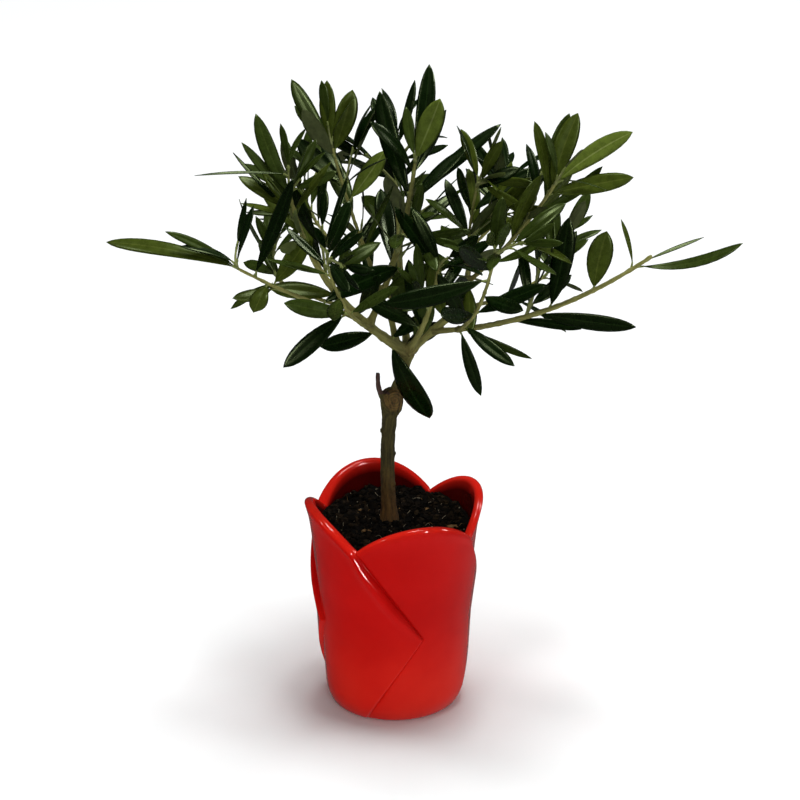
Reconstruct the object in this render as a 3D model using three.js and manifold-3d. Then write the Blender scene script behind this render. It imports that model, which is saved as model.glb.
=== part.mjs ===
// A small olive tree in a glazed pot shaped like a tulip bud.
// Millimetres, +Z up. The origin is the middle of the pot's flat underside, and -Y is the front.
import * as THREE from 'three';
import { mergeVertices } from 'three/addons/utils/BufferGeometryUtils.js';
import Module from 'manifold-3d';

const wasm = await Module();
wasm.setup();

const { clamp, degToRad, lerp, smoothstep } = THREE.MathUtils;
const gap = 0.3;                    // left between solids that touch
const group = new THREE.Group();

const materials = {
  glaze: { color: 0xb01612, roughness: 0.12, metalness: 0 },
  soil: { color: 0x1d140c, roughness: 0.95, metalness: 0 },
  bark: { color: 0x4d4128, roughness: 0.85, metalness: 0 },
  youngBark: { color: 0x7a7c46, roughness: 0.7, metalness: 0 },
  foliage: { color: 0x2c3a1c, roughness: 0.55, metalness: 0 },
};

function addMesh(name, geometry, finish) {
  geometry.computeVertexNormals();
  const mesh = new THREE.Mesh(geometry, new THREE.MeshStandardMaterial(materials[finish]));
  mesh.name = name;
  group.add(mesh);
}

// ---- Joining and cutting ----

function weld(geometry) {
  geometry.deleteAttribute('normal');
  geometry.deleteAttribute('uv');
  return mergeVertices(geometry);
}

function toSolid(geometry) {
  const welded = weld(geometry);
  const mesh = new wasm.Mesh({
    numProp: 3,
    vertProperties: new Float32Array(welded.attributes.position.array),
    triVerts: new Uint32Array(welded.index.array),
  });
  return new wasm.Manifold(mesh);
}

function toGeometry(solid) {
  const { vertProperties, triVerts } = solid.getMesh();
  const geometry = new THREE.BufferGeometry();
  geometry.setAttribute('position', new THREE.BufferAttribute(vertProperties, 3));
  geometry.setIndex(new THREE.BufferAttribute(triVerts, 1));
  return geometry.toNonIndexed();
}

const cutAway = (solid, cutters) => cutters.reduce((rest, cutter) => rest.subtract(cutter), solid);

// ---- Pot: four overlapping petals round a tapered bowl ----

const pot = {
  petals: 4,
  firstPeak: 18,                    // degrees from +X to the first petal's highest point
  height: 138,
  notchDrop: 18.5,                  // how far the rim falls between two petals
  fixedBelow: 96,                   // rows below this stay level, those above follow the rim
  wall: 4.2,
  floor: 5,
  toeRadius: 41.4,
  brimRadius: 51,
  toeTuck: 2.6,
  toeHeight: 12,
  flare: 2,
  flareFrom: 104,
  overlap: 2.3,                     // how far a petal's free edge stands off the next petal
  lip: 1.3,                         // rounding of the rim
  edgeStep: 0.985,                  // share of a petal's width where its free edge begins
  columns: 10,
  bowlRows: [96, 50, 14],           // levels inside the bowl that the soil follows
  floorInset: 2,                    // how far the floor's rim lies in from the wall
};
pot.pitch = 360 / pot.petals;
pot.notchHeight = pot.height - pot.notchDrop;
// A petal's free edge runs from the notch down to a corner and back in to the base.
pot.edge = { notch: pot.pitch / 2, corner: 94, cornerHeight: 59, base: 47 };

function potRadius(z) {
  const tuck = pot.toeTuck * (1 - clamp(z / pot.toeHeight, 0, 1)) ** 2;
  const flare = pot.flare * clamp((z - pot.flareFrom) / (pot.height - pot.flareFrom), 0, 1) ** 2;
  return lerp(pot.toeRadius, pot.brimRadius, z / pot.notchHeight) - tuck + flare;
}

function petalEdge(z) {
  const { notch, corner, cornerHeight, base } = pot.edge;
  const fall = (pot.notchHeight - z) / (pot.notchHeight - cornerHeight);
  return z > cornerHeight ? lerp(notch, corner, fall) : lerp(base, corner, z / cornerHeight);
}

function rowHeight(row, rim) {
  if (row <= pot.fixedBelow) return row;
  return lerp(pot.fixedBelow, rim, (row - pot.fixedBelow) / (pot.height - pot.fixedBelow));
}

const rimHeight = (fromPeak) => pot.height - pot.notchDrop * (fromPeak / (pot.pitch / 2)) ** 2;

// Moves one vertex of the plain bowl to its place on a petal.
function petalPoint(column, row, inset, outside) {
  const petal = Math.floor(column / pot.columns);
  const across = (column % pot.columns) / (pot.columns - 1) * pot.edgeStep;
  const z = rowHeight(row, rimHeight((across - 0.5) * pot.pitch));
  const edge = outside ? petalEdge(rowHeight(row, pot.notchHeight)) : pot.edge.notch;
  const degrees = pot.firstPeak + petal * pot.pitch + edge - pot.pitch * (1 - across);
  const standOff = outside ? pot.overlap * across ** 1.5 * smoothstep(z, -4, 12) : 0;
  const radius = potRadius(z) + standOff - inset;
  return new THREE.Vector3().setFromCylindricalCoords(radius, degToRad(degrees + 90), 0).setComponent(1, z);
}

function potGeometry() {
  const outerRows = [2, 10, 24, 41, 59, 78, 96, 108, 120, 132].map((row) => [0, row]);
  const innerRows = [130, 114, ...pot.bowlRows].map((row) => [pot.wall, row]);
  const profile = [
    [Infinity, 0], [1.6, 0], ...outerRows, [pot.lip * 0.3, pot.height - pot.lip * 0.7],
    [pot.lip, pot.height], [pot.wall - pot.lip, pot.height],
    [pot.wall, pot.height - pot.lip], ...innerRows,
    [pot.wall + pot.floorInset, pot.floor], [Infinity, pot.floor],
  ];
  const outsideRows = outerRows.length + 4;
  const points = profile.map(([inset, row]) => new THREE.Vector2(inset === Infinity ? 0 : 1, row));
  const columns = pot.columns * pot.petals;
  const geometry = new THREE.LatheGeometry(points, columns);
  const position = geometry.attributes.position;
  for (let i = 0; i < position.count; i += 1) {
    const column = Math.floor(i / profile.length) % columns;
    const rowIndex = i % profile.length;
    const [inset, row] = profile[rowIndex];
    if (inset !== Infinity) {
      const point = petalPoint(column, row, inset, rowIndex < outsideRows);
      position.setXYZ(i, point.x, point.y, point.z);
    }
  }
  return geometry.rotateX(Math.PI / 2);
}

// ---- Soil: fills the pot to just below the notches, flat where the trunk stands ----

const soil = {
  top: 117,
  edgeDrop: 1.6,
  lump: 0.9,
  backRise: 0.12,                   // slope of the soil banked up against the back
  flatRadius: 17,
  clearance: gap + 0.3,
  columns: 24,
};

function soilGeometry() {
  const wallRows = [...pot.bowlRows].reverse().concat(soil.top - soil.edgeDrop);
  const underside = pot.floor + gap;
  const rims = wallRows.map((z) => [potRadius(z) - pot.wall - soil.clearance, z]);
  const crust = [38, 27].map((radius) => [radius, soil.top - soil.edgeDrop / 2]);
  const profile = [
    [0, underside],
    [potRadius(underside) - pot.wall - pot.floorInset - soil.clearance, underside], ...rims, ...crust,
    [soil.flatRadius, soil.top], [0, soil.top],
  ];
  const geometry = new THREE.LatheGeometry(profile.map(([r, z]) => new THREE.Vector2(r, z)), soil.columns);
  const position = geometry.attributes.position;
  for (let i = 0; i < position.count; i += 1) {
    const [radius, z] = profile[i % profile.length];
    const turn = Math.floor(i / profile.length) % soil.columns * (2 * Math.PI / soil.columns);
    if (z > wallRows[2] && radius > soil.flatRadius) {
      const lump = soil.lump * Math.sin(3 * turn + radius) * Math.cos(5 * turn - radius / 3);
      const bank = soil.backRise * (radius - soil.flatRadius) * Math.max(0, -Math.cos(turn));
      position.setY(i, z + lump + bank);
    }
  }
  return geometry.rotateX(Math.PI / 2);
}

// ---- Limbs: tapered tubes along curves ----

// A round tube of radius 1 is drawn along the curve, then each ring takes its own radius.
function taperedTube(curve, radiusAt, steps, sides) {
  const section = new THREE.Shape();
  for (let side = 0; side < sides; side += 1) {
    const angle = 2 * Math.PI * side / sides;
    section[side ? 'lineTo' : 'moveTo'](Math.cos(angle), Math.sin(angle));
  }
  const geometry = new THREE.ExtrudeGeometry(section, { steps, extrudePath: curve, bevelEnabled: false });
  const stations = curve.getSpacedPoints(steps);
  const position = geometry.attributes.position;
  const vertex = new THREE.Vector3();
  for (let i = 0; i < position.count; i += 1) {
    vertex.fromBufferAttribute(position, i);
    const distances = stations.map((station) => station.distanceTo(vertex));
    const ring = distances.indexOf(Math.min(...distances));
    vertex.sub(stations[ring]).multiplyScalar(radiusAt(ring / steps)).add(stations[ring]);
    position.setXYZ(i, vertex.x, vertex.y, vertex.z);
  }
  return geometry;
}

function between(stations, share) {
  const next = Math.max(1, stations.findIndex(([place]) => place >= share));
  const [[fromPlace, from], [toPlace, to]] = [stations[next - 1], stations[next]];
  return lerp(from, to, (share - fromPlace) / (toPlace - fromPlace));
}

// The trunk leans back, is swollen round an old pruning cut, then turns right up to the fork.
const trunk = {
  route: [[-3, 8, 0], [-4, 7.5, 30], [-3, 6.5, 62], [-1, 6, 80], [2, 5.5, 91], [6, 4, 104], [10, 2, 118]],
  radii: [
    [0, 6.6], [0.05, 5.4], [0.12, 4.9], [0.5, 4.4], [0.62, 5], [0.68, 5.6], [0.76, 3.6], [0.9, 3.5], [1, 4.5],
  ],
  steps: 16,
  sides: 10,
};

const trunkCurve = new THREE.CatmullRomCurve3(
  trunk.route.map(([x, y, up]) => new THREE.Vector3(x, y, soil.top + gap + up)),
);

// Each limb starts on the axis of the limb it grows from, a share of the way along it, and points
// along heading (degrees from +X), climbing by climb degrees. sag is how far its middle hangs
// below the straight line, and swing how far it stands to the left of it, seen from above.
// Every limb but those with a blunt cut end runs into the mass that "into" names.
const limbs = [
  { name: 'dead_spur', from: 'trunk', at: 0.62, heading: 215, climb: 70, length: 28, sag: 3,
    radii: [1.6, 1] },
  { name: 'bough_left', from: 'trunk', at: 0.96, heading: 195, climb: 56, length: 128, sag: 13,
    radii: [3.1, 1.2], into: 'shoulder_left' },
  { name: 'bough_left_low', from: 'bough_left', at: 0.3, heading: 205, climb: 30, length: 90, sag: 2,
    radii: [1.7, 1], into: 'left_mid' },
  { name: 'bough_left_rear', from: 'bough_left', at: 0.38, heading: 150, climb: 8, length: 48, sag: 2,
    radii: [1.4, 0.9], into: 'left_mid' },
  { name: 'bough_upright', from: 'bough_left', at: 0.24, heading: 30, climb: 72, length: 103, sag: 5,
    radii: [2.1, 1.3], into: 'top' },
  { name: 'bough_upright_root', from: 'bough_left', at: 0.07, heading: 165, climb: 72, length: 33,
    swing: -5, radii: [2, 1.8] },
  { name: 'bough_upper_left', from: 'bough_upright', at: 0.2, heading: 145, climb: 67, length: 93, sag: 2,
    radii: [1.4, 1], into: 'upper_left' },
  { name: 'bough_middle', from: 'trunk', at: 0.98, heading: 300, climb: 62, length: 72, sag: 5,
    radii: [2, 1.1], into: 'inner_low' },
  { name: 'bough_right', from: 'trunk', at: 0.97, heading: 350, climb: 44, length: 49, radii: [2.8, 2.2] },
  { name: 'bough_right_upright', from: 'bough_right', at: 0.97, heading: 60, climb: 80, length: 37,
    radii: [1.9, 1.4], into: 'centre_right' },
  { name: 'bough_lower_right', from: 'bough_right', at: 0.4, heading: 341, climb: 26, length: 150, sag: 9,
    swing: -6, radii: [1.9, 1.3] },
  { name: 'bough_upper_right', from: 'bough_right_upright', at: 0.35, heading: 335, climb: 52,
    length: 90, sag: 3, radii: [1.4, 1.1], into: 'upper_right' },
  { name: 'bough_upper_middle', from: 'bough_right_upright', at: 0.45, heading: 30, climb: 84,
    length: 56, swing: 3, radii: [1.2, 0.9], into: 'upper_middle' },
  { name: 'bough_right_rear', from: 'bough_right', at: 0.9, heading: 33, climb: 6, length: 62, sag: 4,
    radii: [1.4, 1], into: 'right_rear' },
  { name: 'bough_rear', from: 'trunk', at: 0.95, heading: 95, climb: 43, length: 106, sag: 10,
    radii: [2.6, 1.4], into: 'rear_top' },
  { name: 'bough_rear_left', from: 'bough_rear', at: 0.35, heading: 140, climb: 28, length: 80, sag: 6,
    radii: [1.7, 1.1], into: 'rear_left' },
  { name: 'bough_rear_right', from: 'bough_rear', at: 0.45, heading: 38, climb: 20, length: 80, sag: 6,
    radii: [1.6, 1.1], into: 'rear_right' },
  { name: 'bough_front_left', from: 'bough_left', at: 0.22, heading: 250, climb: 42, length: 94, sag: 7,
    radii: [1.5, 1], into: 'front_left' },
  { name: 'bough_front_right', from: 'bough_lower_right', at: 0.12, heading: 285, climb: 44, length: 96,
    sag: 7, radii: [1.5, 1], into: 'front_right' },
];

const curves = { trunk: trunkCurve };
const limbLook = { steps: 5, sides: 6 };

// A unit vector along a heading and a climb, both in degrees.
function bearing(heading, climb) {
  const level = Math.cos(degToRad(climb));
  return new THREE.Vector3(
    level * Math.cos(degToRad(heading)), level * Math.sin(degToRad(heading)), Math.sin(degToRad(climb)),
  );
}

function limbCurve({ from, at, heading, climb, length, sag = 0, swing = 0 }) {
  const start = curves[from].getPointAt(at);
  const end = start.clone().addScaledVector(bearing(heading, climb), length);
  const pull = start.clone().lerp(end, 0.5);
  pull.addScaledVector(bearing(heading, climb - 90), 2 * sag);
  pull.addScaledVector(bearing(heading + 90, 0), 2 * swing);
  return new THREE.QuadraticBezierCurve3(start, pull, end);
}

for (const limb of limbs) curves[limb.name] = limbCurve(limb);

function limbSolid({ name, radii: [thick, thin] }, extra) {
  const radiusAt = (share) => lerp(thick, thin, share) + extra;
  return toSolid(taperedTube(curves[name], radiusAt, limbLook.steps, limbLook.sides));
}

function trunkSolid(extra) {
  const radiusAt = (share) => between(trunk.radii, share) + extra;
  return toSolid(taperedTube(trunkCurve, radiusAt, trunk.steps, trunk.sides));
}

// ---- Foliage: one uneven closed solid for each mass of leaves ----

// A mass grows from a place on a limb: "at" is the share of the way along it. Its length points
// along heading (degrees from +X) and climbs by climb degrees, and its middle lies "out" half
// lengths from that place. half gives half of its length, width and thickness. lobes are the
// sprays that stand out of it.
const masses = [
  { name: 'top', on: 'bough_upright', at: 1, out: 0.65,
    half: [37, 19, 19], heading: 60, climb: 86, lobes: 7 },
  { name: 'upper_left', on: 'bough_upper_left', at: 1, out: 0.35,
    half: [30, 25, 22], heading: 150, climb: 70, lobes: 8 },
  { name: 'shoulder_left', on: 'bough_left', at: 1, out: 0.6,
    half: [28, 22, 20], heading: 150, climb: 60, lobes: 8 },
  { name: 'wing_left', on: 'bough_left', at: 0.9, out: 2,
    half: [22, 9, 7], heading: 160, climb: 25, lobes: 3 },
  { name: 'upper_middle', on: 'bough_upper_middle', at: 1, out: 0.4,
    half: [28, 20, 20], heading: 330, climb: 65, lobes: 7 },
  { name: 'upper_right', on: 'bough_upper_right', at: 1, out: 0.6,
    half: [27, 23, 21], heading: 345, climb: 55, lobes: 8 },
  { name: 'right', on: 'bough_lower_right', at: 0.7, out: 1.15,
    half: [27, 22, 20], heading: 15, climb: 80, lobes: 7 },
  { name: 'far_right', on: 'bough_lower_right', at: 1, out: 0.65,
    half: [30, 13, 9], heading: 345, climb: -5, lobes: 4 },
  { name: 'right_low', on: 'bough_lower_right', at: 0.55, out: 0.75,
    half: [34, 15, 8], heading: 350, climb: -10, lobes: 4 },
  { name: 'right_rear', on: 'bough_right_rear', at: 1, out: 0.5,
    half: [27, 24, 19], heading: 45, climb: 35, lobes: 7 },
  { name: 'centre', on: 'bough_upright', at: 0.45, out: 0.9,
    half: [27, 23, 21], heading: 285, climb: 50, lobes: 7 },
  { name: 'centre_left', on: 'bough_left', at: 0.6, out: 1.25,
    half: [26, 19, 19], heading: 110, climb: 75, lobes: 7 },
  { name: 'centre_right', on: 'bough_right_upright', at: 1, out: 0.5,
    half: [27, 23, 21], heading: 10, climb: 40, lobes: 7 },
  { name: 'left_mid', on: 'bough_left_low', at: 0.9, out: 0.4,
    half: [26, 21, 20], heading: 80, climb: 60, lobes: 7 },
  { name: 'far_left', on: 'bough_left_low', at: 1, out: 1.1,
    half: [38, 14, 8], heading: 195, climb: 16, lobes: 4 },
  { name: 'left_low', on: 'bough_left_low', at: 0.2, out: 0.8,
    half: [27, 13, 8], heading: 205, climb: -25, lobes: 3 },
  { name: 'inner_low', on: 'bough_middle', at: 0.9, out: 0.2,
    half: [20, 16, 16], heading: 300, climb: 20, lobes: 5 },
  { name: 'centre_low', on: 'trunk', at: 0.98, out: 0.95,
    half: [25, 8, 6], heading: 300, climb: -50, lobes: 2 },
  { name: 'right_hang', on: 'bough_lower_right', at: 0.2, out: 0.6,
    half: [25, 12, 10], heading: 335, climb: -35, lobes: 4 },
  { name: 'rear_top', on: 'bough_rear', at: 1, out: 0.7,
    half: [31, 27, 23], heading: 90, climb: 65, lobes: 8 },
  { name: 'rear_left', on: 'bough_rear_left', at: 1, out: 0.6,
    half: [36, 28, 22], heading: 140, climb: 35, lobes: 8 },
  { name: 'rear_right', on: 'bough_rear_right', at: 1, out: 0.6,
    half: [36, 28, 22], heading: 45, climb: 30, lobes: 8 },
  { name: 'front_left', on: 'bough_front_left', at: 1, out: 0.7,
    half: [30, 23, 18], heading: 250, climb: 45, lobes: 7 },
  { name: 'front_right', on: 'bough_front_right', at: 1, out: 0.7,
    half: [30, 23, 18], heading: 290, climb: 45, lobes: 7 },
];

// Masses thinner than "fine" across take the coarser ball.
const leafiness = { rise: 0.62, sharpness: 6, dip: 0.88, detail: 2, coarseDetail: 1, fine: 10.5 };
const goldenAngle = Math.PI * (3 - Math.sqrt(5));

// Lobes are spread evenly over the sphere and turned by a different angle for each mass.
function lobeDirections(count, seed) {
  return Array.from({ length: count }, (_, i) => {
    const height = 1 - 2 * (i + 0.5) / count;
    const turn = goldenAngle * i + seed * 1.7;
    return new THREE.Vector3().setFromCylindricalCoords(Math.sqrt(1 - height * height), turn, height);
  });
}

function massSolid({ on, at, out, half, heading, climb, lobes }, seed, extra) {
  const detail = half[2] < leafiness.fine ? leafiness.coarseDetail : leafiness.detail;
  const geometry = new THREE.IcosahedronGeometry(1, detail);
  const position = geometry.attributes.position;
  const directions = lobeDirections(lobes, seed);
  const tilt = new THREE.Euler(0, degToRad(-climb), degToRad(heading), 'ZYX');
  const middle = curves[on].getPointAt(at).addScaledVector(bearing(heading, climb), out * half[0]);
  const direction = new THREE.Vector3();
  for (let i = 0; i < position.count; i += 1) {
    direction.fromBufferAttribute(position, i).normalize();
    const spray = directions.reduce((most, lobe, number) => {
      const closeness = Math.exp(leafiness.sharpness * (direction.dot(lobe) - 1));
      return Math.max(most, closeness * (1 - 0.3 * (number % 2)));
    }, 0);
    const swell = leafiness.dip + leafiness.rise * spray;
    const [along, across, thick] = half.map((size, axis) => (size + extra) * direction.getComponent(axis));
    direction.set(along, across, thick).multiplyScalar(swell);
    direction.applyEuler(tilt).add(middle);
    position.setXYZ(i, direction.x, direction.y, direction.z);
  }
  return toSolid(geometry);
}

// ---- Assembly ----

addMesh('pot', toGeometry(toSolid(potGeometry())), 'glaze');
addMesh('soil', toGeometry(toSolid(soilGeometry())), 'soil');
addMesh('trunk', toGeometry(trunkSolid(0)), 'bark');

const massClearance = 2 * gap;      // an uneven solid grown by this keeps the gap all round
const wholeMasses = Object.fromEntries(
  masses.map((mass, seed) => [mass.name, massSolid(mass, seed, massClearance)]),
);

const carriers = [{ name: 'trunk', solid: trunkSolid(gap) }];
for (const limb of limbs) {
  const cutters = carriers.map(({ solid }) => solid);
  if (limb.into) cutters.push(wholeMasses[limb.into]);
  const finish = limb.radii[0] > 1.75 ? 'bark' : 'youngBark';
  addMesh(limb.name, toGeometry(cutAway(limbSolid(limb, 0), cutters)), finish);
  carriers.push({ name: limb.name, into: limb.into, solid: limbSolid(limb, gap) });
}

const placed = [];
masses.forEach((mass, seed) => {
  const crossing = carriers.filter(({ into }) => into !== mass.name).map(({ solid }) => solid);
  const solid = cutAway(massSolid(mass, seed, 0), [...crossing, ...placed]);
  addMesh(`foliage_${mass.name}`, toGeometry(solid), 'foliage');
  placed.push(wholeMasses[mass.name]);
});

export default group;
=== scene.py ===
import math
import random

import bpy
import numpy as np
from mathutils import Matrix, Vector, kdtree, noise


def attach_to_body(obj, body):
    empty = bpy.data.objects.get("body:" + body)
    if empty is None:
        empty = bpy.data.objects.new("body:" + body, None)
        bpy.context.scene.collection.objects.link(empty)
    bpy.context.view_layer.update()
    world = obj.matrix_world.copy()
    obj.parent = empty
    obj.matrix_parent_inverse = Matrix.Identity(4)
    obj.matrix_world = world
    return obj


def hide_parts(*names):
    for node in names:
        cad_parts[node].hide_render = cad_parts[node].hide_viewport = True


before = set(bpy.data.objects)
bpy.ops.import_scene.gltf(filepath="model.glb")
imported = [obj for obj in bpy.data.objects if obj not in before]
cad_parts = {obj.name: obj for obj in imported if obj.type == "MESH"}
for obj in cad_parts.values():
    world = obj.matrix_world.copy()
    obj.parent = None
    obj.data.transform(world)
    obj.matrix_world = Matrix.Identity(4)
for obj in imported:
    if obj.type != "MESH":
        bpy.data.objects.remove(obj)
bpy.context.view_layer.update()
print("frame loaded,", len(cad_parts), "nodes")

# Shapes are worked out in millimetres and turned into metres when a piece is made.
mm = 0.001
up = np.array([0.0, 0.0, 1.0])


def bearing(heading, climb):
    # a unit vector, heading in degrees from +X and climb above the level
    level = math.cos(math.radians(climb))
    return np.array([level * math.cos(math.radians(heading)),
                     level * math.sin(math.radians(heading)), math.sin(math.radians(climb))])


def unit(v):
    return v / max(np.linalg.norm(v), 1e-9)


def square(v, axis):
    # the part of v that stands square to axis
    return unit(v - np.dot(v, axis) * axis)


def turned(v, axis, degrees):
    angle = math.radians(degrees)
    return (v * math.cos(angle) + np.cross(axis, v) * math.sin(angle)
            + axis * np.dot(axis, v) * (1 - math.cos(angle)))


class Axis:
    # the centre line of a limb or shoot, asked for by share of its length

    def __init__(self, points):
        self.points = np.array(points, float)
        steps = np.linalg.norm(np.diff(self.points, axis=0), axis=1)
        self.run = np.concatenate([[0], np.cumsum(steps)])
        self.length = self.run[-1]

    def at(self, share):
        place = np.clip(share, 0, 1) * self.length
        return np.array([np.interp(place, self.run, self.points[:, k]) for k in range(3)])

    def along(self, share):
        nudge = 0.03
        return unit(self.at(share + nudge) - self.at(share - nudge))


def bentAxis(start, pull, end, steps=32):
    t = np.linspace(0, 1, steps + 1)[:, None]
    return Axis((1 - t) ** 2 * start + 2 * t * (1 - t) * pull + t * t * end)


def throughPoints(points, steps=12):
    # a centripetal Catmull-Rom curve
    p = [np.array(q, float) for q in points]
    p = [2 * p[0] - p[1]] + p + [2 * p[-1] - p[-2]]
    out = []
    for a, b, c, d in zip(p, p[1:], p[2:], p[3:]):
        ab, bc, cd = (math.sqrt(np.linalg.norm(v)) for v in (b - a, c - b, d - c))
        leave = ((b - a) / ab - (c - a) / (ab + bc) + (c - b) / bc) * bc
        arrive = ((c - b) / bc - (d - b) / (bc + cd) + (d - c) / cd) * bc
        for t in np.linspace(0, 1, steps, endpoint=False):
            out.append(b + leave * t + (-3 * b + 3 * c - 2 * leave - arrive) * t ** 2
                       + (2 * b - 2 * c + leave + arrive) * t ** 3)
    return Axis(out + [p[-2]])


def smooth(value, low, high):
    t = np.clip((value - low) / (high - low), 0, 1)
    return t * t * (3 - 2 * t)


def ringFaces(rings, sides):
    # quads between rings of points, then a lid on each end
    faces = [(i * sides + j, i * sides + (j + 1) % sides, (i + 1) * sides + (j + 1) % sides,
              (i + 1) * sides + j) for i in range(rings - 1) for j in range(sides)]
    return faces + [tuple(range(sides))[::-1], tuple(range((rings - 1) * sides, rings * sides))]


def tubePoints(line, radii, sides, wobble=None):
    # rings of points round a line; wobble gives their unevenness by share and turn
    line = np.asarray(line, float)
    tangents = np.gradient(line, axis=0)
    normal = square(np.array([0.31, 0.55, 0.77]), unit(tangents[0]))
    turns = np.linspace(0, 2 * np.pi, sides, endpoint=False)
    rings = []
    for i, (point, tangent, radius) in enumerate(zip(line, tangents, radii)):
        tangent = unit(tangent)
        normal = square(normal, tangent)
        other = np.cross(tangent, normal)
        reach = radius * (1 if wobble is None else wobble(i / (len(line) - 1), turns))
        reach = np.broadcast_to(reach, turns.shape)[:, None]
        rings.append(point + reach * (np.outer(np.cos(turns), normal) + np.outer(np.sin(turns), other)))
    return np.concatenate(rings)


# The trunk and limbs follow the same named sizes as the part itself.
soilLevel = 117.3
trunk = {
    "route": [(-3, 8, 0), (-4, 7.5, 30), (-3, 6.5, 62), (-1, 6, 80), (2, 5.5, 91), (6, 4, 104),
              (10, 2, 118)],
    "radii": [(0, 6.6), (0.05, 5.4), (0.12, 4.9), (0.5, 4.4), (0.62, 5), (0.68, 5.6), (0.76, 3.6),
              (0.9, 3.5), (1, 4.5)],
}

# name: (grows from, at share, heading, climb, length, sag, swing, thick, thin)
limbs = {
    "dead_spur": ("trunk", 0.62, 215, 70, 28, 3, 0, 1.6, 1),
    "bough_left": ("trunk", 0.96, 195, 56, 128, 13, 0, 3.1, 1.2),
    "bough_left_low": ("bough_left", 0.3, 205, 30, 90, 2, 0, 1.7, 1),
    "bough_left_rear": ("bough_left", 0.38, 150, 8, 48, 2, 0, 1.4, 0.9),
    "bough_upright": ("bough_left", 0.24, 30, 72, 103, 5, 0, 2.1, 1.3),
    "bough_upright_root": ("bough_left", 0.07, 165, 72, 33, 0, -5, 2, 1.8),
    "bough_upper_left": ("bough_upright", 0.2, 145, 67, 93, 2, 0, 1.4, 1),
    "bough_middle": ("trunk", 0.98, 300, 62, 72, 5, 0, 2, 1.1),
    "bough_right": ("trunk", 0.97, 350, 44, 49, 0, 0, 2.8, 2.2),
    "bough_right_upright": ("bough_right", 0.97, 60, 80, 37, 0, 0, 1.9, 1.4),
    "bough_lower_right": ("bough_right", 0.4, 341, 26, 150, 9, -6, 1.9, 1.3),
    "bough_upper_right": ("bough_right_upright", 0.35, 335, 52, 90, 3, 0, 1.4, 1.1),
    "bough_upper_middle": ("bough_right_upright", 0.45, 30, 84, 56, 0, 3, 1.2, 0.9),
    "bough_right_rear": ("bough_right", 0.9, 33, 6, 62, 4, 0, 1.4, 1),
    "bough_rear": ("trunk", 0.95, 95, 43, 106, 10, 0, 2.6, 1.4),
    "bough_rear_left": ("bough_rear", 0.35, 140, 28, 80, 6, 0, 1.7, 1.1),
    "bough_rear_right": ("bough_rear", 0.45, 38, 20, 80, 6, 0, 1.6, 1.1),
    "bough_front_left": ("bough_left", 0.22, 250, 42, 94, 7, 0, 1.5, 1),
    "bough_front_right": ("bough_lower_right", 0.12, 285, 44, 96, 7, 0, 1.5, 1),
}

axes = {"trunk": throughPoints([(x, y, soilLevel + z) for x, y, z in trunk["route"]])}
for name, (source, at, heading, climb, length, sag, swing, thick, thin) in limbs.items():
    start = axes[source].at(at)
    end = start + bearing(heading, climb) * length
    pull = (start + end) / 2 + bearing(heading, climb - 90) * 2 * sag
    axes[name] = bentAxis(start, pull + bearing(heading + 90, 0) * 2 * swing, end)
thickness = {name: row[7:] for name, row in limbs.items()}
print("limb axes laid out,", len(axes))

# Each shoot starts on a limb and bears opposite pairs of leaves, each pair a quarter turn on.
# name: (grows from, at share, heading, climb, length, pairs, leaf length, first turn, tint, twigs)
shoots = {
    "top": ("bough_upright", 1, 60, 80, 8, 1, 34, 20, "mid", 0),
    "upper_left": ("bough_upper_left", 1, 130, 74, 12, 2, 36, 75, "mid", 0),
    "upper_left_back": ("bough_upper_left", 0.7, 50, 74, 24, 2, 44, 10, "deep", 0),
    "shoulder_left": ("bough_left", 1, 110, 76, 16, 2, 38, 40, "mid", 1),
    "shoulder_left_low": ("bough_left", 0.78, 190, 66, 22, 3, 38, 0, "olive", 0),
    "upper_middle": ("bough_upper_middle", 1, 330, 70, 14, 2, 38, 30, "olive", 1),
    "upper_right": ("bough_upper_right", 1, 345, 62, 10, 2, 36, 65, "mid", 0),
    "upper_right_low": ("bough_upper_right", 0.6, 20, 65, 18, 2, 38, 0, "deep", 0),
    "right": ("bough_lower_right", 0.42, 60, 62, 34, 4, 34, 80, "deep", 0),
    "right_rear": ("bough_right_rear", 1, 75, 45, 22, 3, 34, 20, "mid", 1),
    "centre": ("bough_upright", 0.45, 285, 60, 26, 3, 40, 50, "mid", 1),
    "centre_left": ("bough_left", 0.55, 110, 75, 30, 3, 40, 10, "deep", 0),
    "centre_right": ("bough_right_upright", 1, 10, 60, 28, 3, 40, 30, "olive", 1),
    "left_mid": ("bough_left_low", 1, 100, 62, 12, 2, 36, 70, "deep", 0),
    "left_rear": ("bough_left_rear", 1, 120, 55, 22, 3, 36, 25, "mid", 1),
    "inner_low": ("bough_middle", 1, 300, 45, 14, 2, 40, 55, "deep", 0),
    "rear_top": ("bough_rear", 1, 90, 62, 38, 4, 40, 20, "deep", 2),
    "rear_left": ("bough_rear_left", 1, 120, 45, 34, 4, 38, 60, "mid", 2),
    "rear_right": ("bough_rear_right", 1, 75, 40, 34, 4, 38, 35, "deep", 2),
    "rear_middle": ("bough_rear", 0.6, 60, 80, 36, 3, 38, 50, "mid", 1),
    "rear_middle_left": ("bough_rear_left", 0.45, 80, 76, 30, 3, 38, 20, "deep", 0),
    "front_middle": ("bough_middle", 0.55, 250, 50, 30, 3, 36, 45, "mid", 0),
    "front_left": ("bough_front_left", 1, 265, 52, 22, 3, 38, 15, "deep", 1),
    "front_right": ("bough_front_right", 1, 275, 52, 22, 3, 38, 70, "mid", 1),
}

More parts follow.
